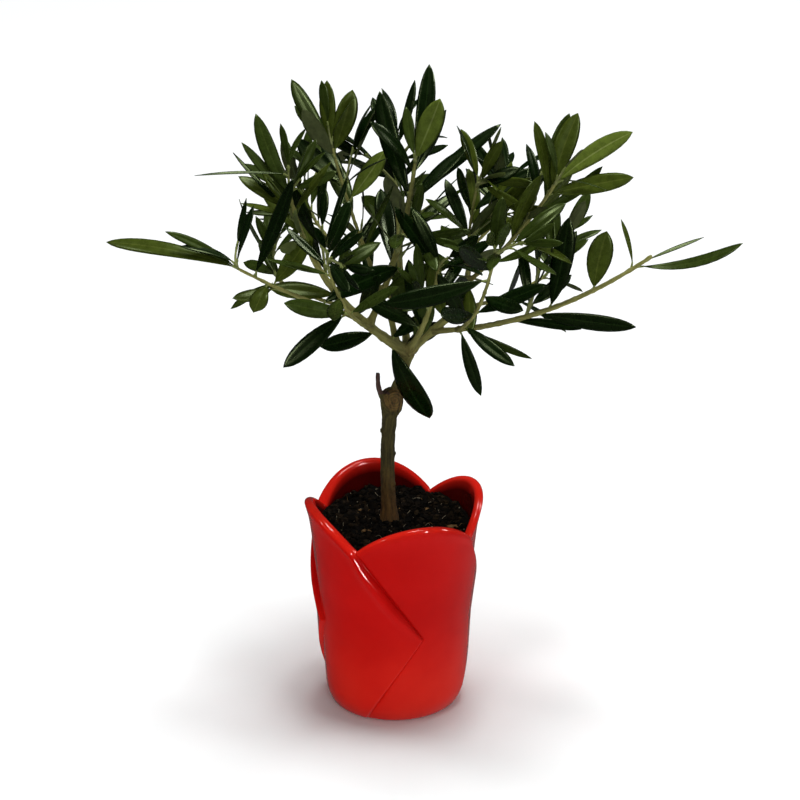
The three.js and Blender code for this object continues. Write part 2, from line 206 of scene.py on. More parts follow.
growth = {
    "firstPair": 0.16,         # share of a shoot below its first pair
    "lastPair": 0.97,
    "crowding": 0.85,          # below 1 the pairs stand closer towards the tip
    "opening": (26, 48),       # degrees between a leaf and the shoot
    "tipOpening": 14,
    "stray": (16, 9),          # degrees a leaf strays round the shoot and away from it
    "missing": 0.14,           # share of leaves that have dropped
    "pairSize": (0.78, 1.14),  # how the size of a pair varies, and that of each of its leaves
    "leafSize": (0.92, 1.06),
    "slimness": (3.5, 4.9),    # length of a leaf over its width
    "recurve": (-12, 32),      # degrees a blade bends back by its tip
    "sway": (-16, 16),
    "twist": (-24, 24),
    "fold": (5, 20),           # degrees each half of a blade lifts from its midrib
    "stalk": (2.5, 4.5),
    "light": (255, 40),        # heading and climb of the light the leaves turn to
    "outward": 0.75,           # how far they turn away from the crown's middle instead
    "outwardRise": 12,
    "toStem": 0.45,            # how far a leaf's face keeps to the shoot rather than the light
    "roll": 48,                # degrees a leaf may turn about its own length
    "droop": 0.08,
    "twigAngle": (38, 58),
    "twigLength": (0.55, 0.8),
    "twigPairs": 0.7, "twigLeaf": 0.88,      # shares of what the shoot itself has
    "shootRadius": (1.15, 0.6),
}

leaves = []       # every leaf, as the sizes that its mesh is made from
stems = []        # (axis, base radius, tip radius, shares of its nodes)


def sizeAt(x, rng):
    # leaves are longest in the middle of a shoot and a little smaller at its tip
    return (0.9 + 0.18 * math.sin(math.pi * x ** 0.8) - 0.22 * x ** 3) * rng.uniform(*growth["pairSize"])


def pairShares(count):
    first, last = growth["firstPair"], growth["lastPair"]
    return [first + (last - first) * (i / max(1, count - 1)) ** growth["crowding"]
            for i in range(count)]


def addLeaf(root, stem, lead, face, length, tint, rng, width=None, recurve=None):
    # root is a point on a stem that runs along stem; lead is the way the blade points
    leaves.append({
        "root": root, "stem": stem, "lead": lead, "face": square(face, lead), "length": length,
        "tint": tint, "width": width or length / rng.uniform(*growth["slimness"]),
        "recurve": rng.uniform(*growth["recurve"]) if recurve is None else recurve,
        "sway": rng.uniform(*growth["sway"]), "twist": rng.uniform(*growth["twist"]),
        "fold": rng.uniform(*growth["fold"]), "stalk": rng.uniform(*growth["stalk"]),
    })


def towardLight(root):
    out = unit(np.array([root[0], root[1], growth["outwardRise"]]))
    return unit(bearing(*growth["light"]) + growth["outward"] * out)


def sideOf(stem, turn):
    # a way that stands square to a stem, turned about it
    return turned(square(np.array([0.3, -0.9, 0.2]), stem), stem, turn)


def addPair(axis, share, turn, length, opening, tint, rng):
    root, stem = axis.at(share), axis.along(share)
    side = sideOf(stem, turn)
    strayRound, strayOut = growth["stray"]
    for half in (0, 180):
        outward = turned(side, stem, half + rng.uniform(-strayRound, strayRound))
        angle = math.radians(opening + rng.uniform(-strayOut, strayOut))
        size = length * rng.uniform(*growth["leafSize"])
        roll = rng.uniform(-1, 1) * growth["roll"]
        if rng.random() < growth["missing"]:
            continue
        lead = unit(stem * math.cos(angle) + outward * math.sin(angle) - up * growth["droop"])
        face = square(towardLight(root) + stem * growth["toStem"], lead)
        addLeaf(root, stem, lead, turned(face, lead, roll), size, tint, rng)


def growShoot(name, source, at, heading, climb, length, pairs, leafLength, turn, tint, twigs):
    rng = random.Random(name)
    start = axes[source].at(at)
    lead = bearing(heading, climb)
    follow = 0.5 if at == 1 else 0.2        # how far it first runs on along what bears it
    pull = start + (axes[source].along(at) * follow + lead * (1 - follow)) * length * 0.5
    axis = axes[name] = bentAxis(start, pull, start + lead * length)
    shares = pairShares(pairs)
    base, tip = growth["shootRadius"]
    if source in limbs:
        base = min(base, thickness[source][1] * 0.95)        # thinner than the bough's own tip
    stems.append((axis, base, tip, shares))
    for i, share in enumerate(shares):
        x = i / max(1, pairs - 1)
        opening = rng.uniform(*growth["opening"]) * (1 - x ** 2) + growth["tipOpening"] * x ** 2
        addPair(axis, share, turn + 90 * i, leafLength * sizeAt(x, rng), opening, tint, rng)
    for i in range(twigs):
        share = shares[(1 + 2 * i) % max(1, pairs - 1)]
        stem = axis.along(share)
        side = sideOf(stem, turn + 90 * i + 180 * (i % 2))
        angle = math.radians(rng.uniform(*growth["twigAngle"]))
        twigLead = unit(stem * math.cos(angle) + side * math.sin(angle))
        twigTo = (math.degrees(math.atan2(twigLead[1], twigLead[0])),
                  math.degrees(math.asin(twigLead[2])))
        growShoot(f"{name}_twig{i + 1}", name, share, *twigTo,
                  length * rng.uniform(*growth["twigLength"]), max(3, round(pairs * growth["twigPairs"])),
                  leafLength * growth["twigLeaf"], turn + 45, tint, 0)


# The boughs bear pairs of their own below the shoots.
# name: (from share, to share, pairs, leaf length, opening, first turn, tint)
boughPairs = {
    "bough_left": (0.45, 0.92, 3, 40, 38, 60, "olive"),
    "bough_upright": (0.35, 0.92, 4, 44, 32, 30, "deep"),
    "bough_upper_left": (0.3, 0.92, 4, 44, 34, 70, "mid"),
    "bough_middle": (0.3, 0.95, 3, 40, 42, 40, "deep"),
    "bough_right_upright": (0.5, 1, 2, 40, 38, 10, "mid"),
    "bough_upper_right": (0.45, 0.9, 3, 42, 32, 60, "olive"),
    "bough_upper_middle": (0.4, 0.95, 3, 40, 34, 20, "deep"),
    "bough_right_rear": (0.5, 0.95, 2, 36, 42, 30, "deep"),
    "bough_rear": (0.45, 0.95, 4, 42, 42, 10, "mid"),
    "bough_rear_left": (0.3, 0.95, 3, 40, 44, 65, "deep"),
    "bough_rear_right": (0.3, 0.95, 3, 38, 44, 30, "mid"),
    "bough_front_left": (0.45, 0.95, 3, 40, 42, 55, "mid"),
    "bough_front_right": (0.16, 0.95, 4, 40, 42, 15, "deep"),
    "bough_left_rear": (0.5, 0.95, 2, 36, 42, 25, "mid"),
}


def dressBough(name, first, last, pairs, leafLength, opening, turn, tint):
    rng = random.Random(f"{name} leaves")
    for i in range(pairs):
        share = first + (last - first) * i / max(1, pairs - 1)
        addPair(axes[name], share, turn + 90 * i, leafLength * rng.uniform(0.88, 1.1), opening,
                tint, rng)


for name, row in shoots.items():
    growShoot(name, *row)
for name, row in boughPairs.items():
    dressBough(name, *row)
print("shoots grown,", len(stems), "stems and", len(leaves), "leaves")

# Leaves that stand on the boughs themselves, or that mark the crown's outline.
# (on, at share, heading, climb, length, width, face heading, face climb, recurve, tint)
singleLeaves = [
    ("bough_left_low", 1, 172, 19, 82, 10, 270, 65, 36, "olive"),
    ("bough_left_low", 1, 165, 32, 44, 6, 250, 60, 6, "mid"),
    ("bough_left_low", 0.74, 240, -34, 17, 11, 300, 50, 50, "olive"),
    ("bough_left_low", 0.66, 195, -16, 24, 9, 270, 50, -24, "olive"),
    ("bough_left_low", 0.7, 340, 50, 34, 12, 260, 40, 10, "olive"),
    ("bough_left_low", 0.85, 350, 66, 68, 10, 250, 30, -14, "deep"),
    ("bough_left_low", 0.1, 200, -34, 46, 12, 270, 45, 8, "deep"),
    ("bough_left_low", 0.3, 358, 37, 48, 13, 262, 42, 10, "deep"),
    ("bough_left", 0.18, 195, -14, 32, 11, 270, 45, 10, "deep"),
    ("bough_left", 0.09, 325, -67, 56, 18, 228, 25, 40, "deep"),
    ("bough_left", 0.03, 10, 25, 24, 10, 270, 40, 6, "deep"),
    ("bough_upright_root", 0.6, 8, 17, 42, 12, 265, 45, 8, "deep"),
    ("bough_middle", 0.1, 300, 62, 34, 12, 250, 20, 8, "mid"),
    ("bough_front_right", 0.87, 195, -16, 58, 12, 265, 22, 10, "deep"),
    ("bough_right_upright", 0.35, 280, -60, 28, 9, 270, 30, 4, "olive"),
    ("bough_left", 0.1, 345, 42, 26, 8, 270, 30, 6, "deep"),
    ("bough_middle", 0.3, 175, 34, 34, 10, 270, 40, 8, "deep"),
    ("bough_right", 0.6, 200, 70, 36, 12, 250, 20, 8, "olive"),
    ("bough_right", 0.9, 260, 55, 32, 11, 290, 30, -8, "deep"),
    ("bough_left", 0.3, 300, 58, 36, 11, 240, 25, 8, "deep"),
    ("bough_rear", 0.2, 240, 70, 36, 11, 250, 20, 8, "mid"),
    ("bough_upright", 0.22, 10, 24, 40, 10, 265, 45, 6, "mid"),
    ("bough_lower_right", 0.92, 357, -5, 62, 8, 270, 60, -45, "mid"),
    ("bough_lower_right", 0.95, 15, 20, 36, 3, 270, 60, 10, "mid"),
    ("bough_lower_right", 0.9, 110, 72, 26, 4, 320, 10, 10, "olive"),
    ("bough_lower_right", 0.72, 60, 78, 33, 15, 270, 10, 4, "olive"),
    ("bough_lower_right", 0.52, 28, 71, 52, 13, 270, 25, 6, "deep"),
    ("bough_lower_right", 0.46, 355, -9, 56, 10, 270, 28, 2, "deep"),
    ("bough_lower_right", 0.34, 355, 2, 40, 6, 270, 30, 2, "deep"),
    ("bough_lower_right", 0.12, 320, -72, 40, 8, 270, 25, 10, "deep"),
    ("bough_lower_right", 0.14, 345, -22, 42, 5, 270, 40, -24, "mid"),
    ("bough_upper_right", 1, 10, 42, 50, 12, 270, 40, 6, "fresh"),
    ("bough_upper_right", 0.95, 50, 72, 44, 13, 270, 20, 6, "olive"),
    ("bough_upper_right", 0.85, 40, 74, 50, 11, 270, 20, 6, "mid"),
    ("bough_upper_right", 0.72, 8, 18, 48, 8, 270, 62, -45, "mid"),
    ("bough_upright", 1, 60, 60, 56, 11, 270, 25, 4, "deep"),
    ("bough_upright", 1, 345, 68, 38, 14, 255, 25, 10, "fresh"),
    ("bough_upright", 0.78, 155, 64, 62, 12, 270, 20, 4, "deep"),
    ("bough_upright", 0.76, 20, 38, 68, 9, 270, 40, 4, "deep"),
    ("bough_left", 1, 150, 56, 50, 10, 270, 30, 6, "mid"),
    ("bough_left", 0.97, 155, 45, 43, 6, 270, 40, -8, "mid"),
    ("bough_left", 0.9, 161, 36, 50, 3, 270, 50, -24, "deep"),
    ("shoulder_left", 0.8, 180, 6, 52, 2.5, 270, 50, 4, "deep"),
    ("bough_left", 0.9, 178, 8, 26, 5, 270, 50, 10, "mid"),
    ("bough_upper_left", 1, 180, 54, 44, 10, 270, 30, 4, "mid"),
    ("bough_upper_left", 1, 130, 76, 36, 10, 270, 20, 4, "olive"),
    ("bough_upper_left", 0.95, 30, 66, 36, 13, 270, 20, 6, "olive"),
    ("bough_upper_left", 0.75, 180, 40, 36, 12, 270, 30, 6, "deep"),
    ("bough_upper_left", 0.62, 25, 44, 34, 13, 260, 40, 6, "fresh"),
]


def addSingle(order, on, at, heading, climb, length, width, faceHeading, faceClimb, recurve, tint):
    addLeaf(axes[on].at(at), axes[on].along(at), bearing(heading, climb),
            bearing(faceHeading, faceClimb), length, tint, random.Random(f"single{order}"), width, recurve)


for i, row in enumerate(singleLeaves):
    addSingle(i, *row)
print("single leaves added,", len(leaves), "leaves in all")

leafShape = {
    "rows": 13,
    "columns": (-1, -0.74, -0.4, -0.07, 0.07, 0.4, 0.74, 1),
    "crowding": 0.7,               # how far the rows crowd towards both ends
    "base": 0.85, "tip": 0.6,      # the smaller, the blunter that end of the blade
    "narrowest": 0.4,
    "nib": 0.8,
    "thickness": 0.45,
    "edgeRoll": 0.16,
    "ribDepth": 0.35,
}


def stalkReach(leaf):
    return unit(leaf["stem"] * 0.5 + leaf["lead"]) * leaf["stalk"]


def leafBlade(leaf):
    # points as rings round the blade, row by row: across the top, then back underneath
    columns, crowding = np.array(leafShape["columns"]), leafShape["crowding"]
    shares = np.linspace(0, 1, leafShape["rows"])
    shares = (1 - crowding) * shares + crowding * (0.5 - 0.5 * np.cos(np.pi * shares))
    base, tip = leafShape["base"], leafShape["tip"]
    peak = base / (base + tip)
    outline = shares ** base * (1 - shares) ** tip / (peak ** base * (1 - peak) ** tip)
    halves = np.maximum(leaf["width"] / 2 * outline, leafShape["narrowest"] * (1 - 0.5 * shares))
    steps = np.diff(shares, prepend=0)
    reaches = leaf["length"] * steps
    reaches[-1] += leafShape["nib"]
    lead, face = leaf["lead"], leaf["face"]
    point = leaf["root"] + stalkReach(leaf)
    fold = math.tan(math.radians(leaf["fold"]))
    rings = []
    for share, half, step, reach in zip(shares, halves, steps, reaches):
        side = np.cross(lead, face)
        lead = unit(turned(lead, side, -leaf["recurve"] * step))
        face = square(turned(face, side, -leaf["recurve"] * step), lead)
        lead = unit(turned(lead, face, leaf["sway"] * step))
        face = square(turned(face, lead, leaf["twist"] * step), lead)
        point = point + lead * reach
        rise = half * (fold * np.abs(columns) * (1 - 0.4 * share) - leafShape["edgeRoll"] * columns ** 4)
        body = leafShape["thickness"] / 2 * (1 - columns ** 2)
        rib = np.where(np.abs(columns) < 0.1, leafShape["ribDepth"] * (1 - share ** 2), 0)
        across = point + np.outer(columns * half, np.cross(lead, face))
        top = across + np.outer(rise + body - rib * 0.3, face)
        under = across + np.outer(rise - body - rib, face)
        rings.append(np.concatenate([top, under[-2:0:-1]]))
    return np.concatenate(rings)


def leafFaces():
    # faces of one blade, and which part each is: 0 top, 1 rib, 2 underside
    rows, wide = leafShape["rows"], len(leafShape["columns"])
    ring = 2 * wide - 2
    parts = [1 if j == wide // 2 - 1 else 0 if j < wide - 1 else 2 for j in range(ring)]
    return ringFaces(rows, ring), parts * (rows - 1) + [1, 1]


def colour(red, green, blue):
    # a colour given as 0 to 255 on a screen, as the shader's linear one
    return tuple(c / 12.92 if c <= 0.04045 else ((c + 0.055) / 1.055) ** 2.4
                 for c in (red / 255, green / 255, blue / 255)) + (1.0,)


def addNode(tree, kind, inputs=(), **settings):
    # inputs gives a socket, by name or place, its value or the output that feeds it
    made = tree.nodes.new("ShaderNode" + kind)
    for label, value in settings.items():
        setattr(made, label, value)
    for socket, value in dict(inputs).items():
        if isinstance(value, bpy.types.NodeSocket):
            tree.links.new(value, made.inputs[socket])
        else:
            made.inputs[socket].default_value = value
    return made


def noiseOf(tree, vector, scale, detail):
    return addNode(tree, "TexNoise", {"Vector": vector, "Scale": scale, "Detail": detail}).outputs["Fac"]


def mathOf(tree, operation, *values, clamp=False):
    return addNode(tree, "Math", dict(enumerate(values)), operation=operation, use_clamp=clamp).outputs[0]


def mixed(tree, share, first, second):
    # one number where share is 0 and the other where it is 1
    return addNode(tree, "Mix", {0: share, 2: first, 3: second}).outputs[0]


def mixedColours(tree, share, first, second):
    return addNode(tree, "Mix", {0: share, 6: first, 7: second}, data_type="RGBA").outputs[2]


def nodeGroup(name, inputs, outputs):
    tree = bpy.data.node_groups.new(name, "ShaderNodeTree")
    for label, kind, value in inputs:
        socket = tree.interface.new_socket(name=label, in_out="INPUT", socket_type="NodeSocket" + kind)
        socket.default_value = value
    for label, kind in outputs:
        tree.interface.new_socket(name=label, in_out="OUTPUT", socket_type="NodeSocket" + kind)
    return tree, tree.nodes.new("NodeGroupInput").outputs, tree.nodes.new("NodeGroupOutput").inputs


def patchyColourGroup():
    # two colours in soft patches, broken up by a finer fleck
    tree, given, out = nodeGroup("patchy colour", [
        ("Vector", "Vector", (0, 0, 0)), ("Light", "Color", (1, 1, 1, 1)), ("Dark", "Color", (0, 0, 0, 1)),
        ("Scale", "Float", 50.0), ("Contrast", "Float", 1.5), ("Fleck", "Float", 0.2),
    ], [("Color", "Color"), ("Mask", "Float")])
    patches = noiseOf(tree, given["Vector"], given["Scale"], 4)
    flecks = noiseOf(tree, given["Vector"], mathOf(tree, "MULTIPLY", given["Scale"], 9), 2)
    centred = mathOf(tree, "SUBTRACT", mixed(tree, given["Fleck"], patches, flecks), 0.5)
    mask = mathOf(tree, "MULTIPLY_ADD", centred, given["Contrast"], 0.5, clamp=True)
    tree.links.new(mixedColours(tree, mask, given["Dark"], given["Light"]), out["Color"])
    tree.links.new(mask, out["Mask"])
    return tree


def reliefGroup():
    # a height that is partly fine grain and partly broad dents
    tree, given, out = nodeGroup("relief", [
        ("Vector", "Vector", (0, 0, 0)), ("Broad Scale", "Float", 60.0), ("Fine Scale", "Float", 600.0),
        ("Fine Share", "Float", 0.5),
    ], [("Height", "Float")])
    broad = noiseOf(tree, given["Vector"], given["Broad Scale"], 3)
    fine = noiseOf(tree, given["Vector"], given["Fine Scale"], 3)
    tree.links.new(mixed(tree, given["Fine Share"], broad, fine), out["Height"])
    return tree


patchyColour = patchyColourGroup()
relief = reliefGroup()


def finish(name, light, dark, scale, contrast=2.0, fleck=0.2, rough=(0.4, 0.5), broad=60,
           fine=600, fineShare=0.5, bump=0.2, depth=0.0003, gloss=0.5, grain=None, blendTo=(), **plain):
    # grain names a point attribute that places the patterns; blendTo is a list of
    # (attribute, light, dark), each laid over the last where its attribute is 1
    made = bpy.data.materials.new(name)
    made.use_nodes = True
    tree = made.node_tree
    shader = tree.nodes["Principled BSDF"]
    shader.inputs["Specular IOR Level"].default_value = gloss
    for socket, value in plain.items():
        shader.inputs[socket].default_value = value
    if grain:
        vector = addNode(tree, "Attribute", attribute_name=grain).outputs["Vector"]
    else:
        vector = addNode(tree, "TexCoord").outputs["Object"]

    def patches(lightest, darkest):
        inputs = {"Vector": vector, "Light": colour(*lightest), "Dark": colour(*darkest),
                  "Scale": scale, "Contrast": contrast, "Fleck": fleck}
        return addNode(tree, "Group", inputs, node_tree=patchyColour).outputs

    first = patches(light, dark)
    shown = first["Color"]
    for attribute, lightest, darkest in blendTo:
        share = addNode(tree, "Attribute", attribute_name=attribute).outputs["Fac"]
        shown = mixedColours(tree, share, shown, patches(lightest, darkest)["Color"])
    roughness = addNode(tree, "MapRange", {"Value": first["Mask"], "To Min": rough[0], "To Max": rough[1]})
    height = addNode(tree, "Group", {"Vector": vector, "Broad Scale": broad, "Fine Scale": fine,
                                     "Fine Share": fineShare}, node_tree=relief)
    bumps = addNode(tree, "Bump", {"Height": height.outputs["Height"], "Strength": bump,
                                   "Distance": depth})
    tree.links.new(shown, shader.inputs["Base Color"])
    tree.links.new(roughness.outputs["Result"], shader.inputs["Roughness"])
    tree.links.new(bumps.outputs["Normal"], shader.inputs["Normal"])
    return made


def addObject(name, data):
    made = bpy.data.objects.new(name, data)
    bpy.context.scene.collection.objects.link(made)
    return made


def placed(name, mesh, attributes=None, shadeSmooth=True):
    for label, values in (attributes or {}).items():
        values = np.asarray(values, np.float32)
        kind, field = ("FLOAT", "value") if values.ndim == 1 else ("FLOAT_VECTOR", "vector")
        mesh.attributes.new(label, kind, "POINT").data.foreach_set(field, values.ravel())
    mesh.polygons.foreach_set("use_smooth", [shadeSmooth] * len(mesh.polygons))
    mesh.update()
    return addObject(name, mesh)


class Gather:
    # collects the points and faces of many shapes that become one mesh

    def __init__(self):
        self.points, self.faces, self.slots, self.count = [], [], [], 0

    def add(self, points, faces, slots=0):
        self.points.append(np.asarray(points, float))
        self.faces += [tuple(k + self.count for k in face) for face in faces]
        self.slots += [slots] * len(faces) if isinstance(slots, int) else list(slots)
        self.count += len(points)

    def addTube(self, line, radii, sides, slot=0, wobble=None):
        self.add(tubePoints(line, radii, sides, wobble), ringFaces(len(line), sides), slot)

    def build(self, name, materials, attributes=None, shadeSmooth=True):
        mesh = bpy.data.meshes.new(name)
        points = np.concatenate(self.points) * mm
        mesh.from_pydata(points.tolist(), [], self.faces)
        mesh.polygons.foreach_set("material_index", self.slots)
        for material in materials:
            mesh.materials.append(material)
        return placed(name, mesh, attributes, shadeSmooth)


def attach(piece, slot, *nodes):
    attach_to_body(piece, "root")
    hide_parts(*nodes)
    print("piece", piece.name, "of", len(piece.data.polygons), "faces")


# The pot: four petals wrapped round a tapered bowl, each with a thick rolled free edge.
pot = {
    "petals": 4, "firstPeak": 18, "height": 138, "notchDrop": 18.5, "fixedBelow": 96,
    "wall": 4.2, "floor": 5, "toeRadius": 41.4, "brimRadius": 51, "toeTuck": 2.6, "toeHeight": 12,
    "toeRound": (1.4, 1.6),    # how far the toe is rounded in, and up to what height
    "flare": 2, "flareFrom": 104,
    "corner": (94, 59), "base": 47,    # turn and height of a free edge's corner; its turn at the foot
    "overlap": (2.5, 3.0),     # how far a free edge stands off, low down and near the notch
    "overlapStarts": (-4, 14), "overlapGrows": (40, 95),
    "edgeRound": (0.026, 0.055), "edgeRoundGrows": (52, 80),
    "rolls": (0.8, 1.0, 2.0, 0.0),     # swelling of each free edge above its corner
    "rollWidth": 0.06, "rollsStart": (58, 84), "rollsEnd": (104, 118),
    "crease": 1.1, "creaseWidth": 0.012, "creaseStarts": (0, 20),
    "rimRoll": 0.7,
    "rowsInside": 14,          # rows of points from inside the rim down to the floor
    "red": ((209, 12, 9), (188, 8, 6)),
    # the darker red on the inside of the pot is painted shade
    "inside": ((98, 7, 6), (70, 4, 4)),
    # lighter red where the glaze thins at the outer rim; the same colour serves as painted light towards the
    # foot and just inside the rim
    "thin": ((240, 44, 28), (226, 26, 18)),
    "thinRim": (3.5, 0.5), "paintedLightInsideRim": (7, 1),      # depths below the rim where the glaze thins outside, and where painted light brightens the inner wall
    "paintedLightFoot": (80, 5),       # heights between which painted light brightens the glaze, slowly, towards the foot
}
pitch = 360 / pot["petals"]
notchHeight = pot["height"] - pot["notchDrop"]


def potRadius(z):
    tuck = pot["toeTuck"] * (1 - np.clip(z / pot["toeHeight"], 0, 1)) ** 2
    rise = np.clip((z - pot["flareFrom"]) / (pot["height"] - pot["flareFrom"]), 0, 1)
    bowl = pot["toeRadius"] + (pot["brimRadius"] - pot["toeRadius"]) * z / notchHeight
    return bowl - tuck + pot["flare"] * rise ** 2


def rimHeight(across):
    return pot["height"] - pot["notchDrop"] * ((across - 0.5) * 2) ** 2


def freeEdge(z):
    turn, level = pot["corner"]
    if z > level:
        return pitch / 2 + (turn - pitch / 2) * (notchHeight - z) / (notchHeight - level)
    return pot["base"] + (turn - pot["base"]) * z / level


def standOff(across, z, petal):
    low, high = pot["overlap"]
    started = 0.25 + 0.75 * smooth(z, *pot["overlapStarts"])
    body = (low + (high - low) * smooth(z, *pot["overlapGrows"])) * across ** 1.5 * started
    near = (1 - across) / pot["rollWidth"]
    upper = smooth(z, *pot["rollsStart"]) * (1 - 0.8 * smooth(z, *pot["rollsEnd"]))
    body = body + np.take(pot["rolls"], petal) * upper * np.exp(-(near - 1.1) ** 2 / 0.8)
    narrow, wide = pot["edgeRound"]
    rounding = narrow + (wide - narrow) * smooth(z, *pot["edgeRoundGrows"])
    past = np.clip((across - 1 + rounding) / rounding, 0, 1)
    crease = pot["crease"] * np.exp(-(across / pot["creaseWidth"]) ** 2) \
        * smooth(z, *pot["creaseStarts"])
    return body * np.sqrt(1 - past ** 2) - crease


def potRing(radius, degrees, z):
    angle = np.radians(degrees)
    return np.stack([radius * np.cos(angle), radius * np.sin(angle), np.broadcast_to(z, angle.shape)],
                    axis=1)


def potPoints():
    # rows of points up the outside, over the rim and down the inside
    edge = 1 - pot["edgeRound"][1] * (1 - np.sin(np.linspace(0, np.pi / 2, 13, endpoint=False)))
    across = np.concatenate([np.linspace(0, 0.03, 5), np.linspace(0.055, 0.86, 24),
                             np.linspace(0.88, 0.935, 5), edge])
    lowLevels = [0, 0.5, 1.6, 3, 5, 8, 12, *range(16, 52, 4), 53, 56, 58, 59, 60, 62, 65, 69,
                 *range(73, 96, 4)]
    petals, shares = np.repeat(np.arange(pot["petals"]), len(across)), np.tile(across, pot["petals"])
    starts = pot["firstPeak"] + petals * pitch
    turns = starts + pitch / 2 - pitch * (1 - shares)
    wall, fixed, rims = pot["wall"], pot["fixedBelow"], rimHeight(shares)
    rows = []
    for z in lowLevels:
        depth, upTo = pot["toeRound"]
        inset = depth * (1 - z / upTo) ** 2 if z < upTo else 0
        degrees = starts + freeEdge(z) - pitch * (1 - shares)
        rows.append(potRing(potRadius(z) + standOff(shares, z, petals) - inset, degrees, z))
    thick = (wall + standOff(shares, notchHeight, petals)) / 2
    for t in np.linspace(0, 1, 11):
        z = fixed + (rims - thick - fixed) * t
        degrees = starts + freeEdge(fixed + (notchHeight - fixed) * t) - pitch * (1 - shares)
        swell = pot["rimRoll"] * smooth(t, 0.75, 1)
        rows.append(potRing(potRadius(z) + standOff(shares, z, petals) + swell, degrees, z))
    rimLevel = rims - thick
    outer = potRadius(rimLevel) + standOff(shares, rimLevel, petals) + pot["rimRoll"]
    inner = potRadius(rimLevel) - wall
    for turn in np.radians(np.linspace(0, 180, 10)[1:]):
        reach = (outer + inner) / 2 + (outer - inner) / 2 * np.cos(turn)
        rows.append(potRing(reach, turns, rimLevel + thick * np.sin(turn)))
    for t in np.linspace(0, 1, 8)[1:]:
        z = rimLevel + (fixed - rimLevel) * t
        rows.append(potRing(potRadius(z) - wall, turns, z))
    for z, tighter in ((70, 0), (40, 0), (14, 0), (pot["floor"], 2)):
        rows.append(potRing(potRadius(z) - wall - tighter, turns, z))
    return np.concatenate(rows), len(rows), len(turns)


def potPiece():
    points, rings, sides = potPoints()
    faces = ringFaces(rings, sides)
    insideFrom = sides * (rings - pot["rowsInside"])
    gather = Gather()
    # faces inside the rim take the second finish, a darker red that is painted shade
    gather.add(points, faces, [int(min(face) >= insideFrom) for face in faces])
    x, y, z = points.T
    rims = rimHeight(((np.degrees(np.arctan2(y, x)) - pot["firstPeak"] + pitch / 2) / pitch) % 1)

    def nearRim(low, high):
        return smooth(z, rims - low, rims - high)

    # the thin mask adds painted light towards the foot, on top of the real thinning at the outer rim
    high, low = pot["paintedLightFoot"]
    thin = nearRim(*pot["thinRim"]) + smooth(-z, -high, -low)
    # inside, the mask is painted light that brightens the inner wall just below the rim
    thin[insideFrom:] = nearRim(*pot["paintedLightInsideRim"])[insideFrom:]
    looks = {
        "contrast": 2.2, "fleck": 0.12, "rough": (0.1, 0.2), "broad": 34, "fine": 420,
        "fineShare": 0.1, "bump": 0.12, "depth": 0.002, "gloss": 0.15,
        "Specular Tint": (1, 0.4, 0.35, 1), "Coat Weight": 0.45, "Coat Roughness": 0.04,
        "blendTo": [("thin", *pot["thin"])],
    }
    finishes = [finish("red glaze", *pot["red"], 22, **looks),
                finish("inner glaze painted shade", *pot["inside"], 22, **looks)]
    return gather.build("glazed_pot", finishes, {"thin": thin})


attach(potPiece(), "glaze", "pot")

# Soil: a lumpy bed banked up against the back, strewn with crumbs, grit, fibres and chips.
soil = {
    "level": 117, "rings": 26, "spokes": 84, "skirt": (112, 106), "bank": 0.13, "flat": 12,
    "lump": 1.7, "lumpSize": 9, "smallLumpSize": 3.5,
    "edgeLump": 3.6, "edgeLumpSize": 6, "edge": (30, 46),
    "crumbs": 2600, "crumbSize": (0.4, 2.4), "clods": 130, "clodSize": (2, 4.6),
    "grit": 70, "gritSize": (0.35, 0.9),
    "fibres": 26, "fibreLength": (5, 13), "fibreBend": 14, "fibresWithin": (40, 43),
    "chips": 9, "chipsFrom": 14, "chipsSpread": 26, "chipSize": (1.2, 2.4), "bigChip": (36, -6, 2.6),
    # name, light, dark, scale of the patches, contrast
    "finishes": [("wet soil", (13, 9, 5), (5, 4, 2), 160, 3),
                 ("soil crumbs", (29, 21, 12), (10, 7, 4), 190, 3),
                 ("dry crumbs", (50, 39, 24), (21, 15, 9), 190, 3),
                 ("grit", (150, 141, 120), (106, 95, 76), 300, 2),
                 ("chips", (132, 103, 67), (84, 61, 36), 260, 2)],
}


def soilHeight(x, y):
    radius = math.hypot(x, y)
    bank = soil["bank"] * max(0.0, radius - soil["flat"]) * max(-0.1, y / max(radius, 1))

    def lumps(size, layer):
        return noise.noise(Vector((x / size, y / size, layer)))

    lump = soil["lump"] * (lumps(soil["lumpSize"], 0.4) + 0.5 * lumps(soil["smallLumpSize"], 4))
    edge = soil["edgeLump"] * float(smooth(radius, *soil["edge"])) * lumps(soil["edgeLumpSize"], 9)
    return soil["level"] - 0.4 + bank + lump + edge


def soilReach(z):
    return float(potRadius(z)) - pot["wall"] + 0.2


def spot(reach, turn):
    return reach * math.cos(turn), reach * math.sin(turn)


def lumpShape(size, squash, rng, detail):
    # an uneven crumb: a small ball whose points are pushed in and out
    rows, columns = detail
    shift = Vector((rng.uniform(-99, 99), rng.uniform(-99, 99), 0))
    out = []
    for i in range(1, rows):
        polar = math.pi * i / rows
        for j in range(columns):
            turn = 2 * math.pi * (j + 0.5 * (i % 2)) / columns
            d = Vector((*spot(math.sin(polar), turn), math.cos(polar)))
            out.append(d * size * (1 + 0.75 * noise.noise(d * 1.5 + shift)
                                    + 0.35 * noise.noise(d * 3.7 - shift)))
    points = np.array(out) * np.array(squash)
    turnTo = rng.uniform(0, 360)
    return np.array([turned(p, up, turnTo) for p in points]), ringFaces(rows - 1, columns)


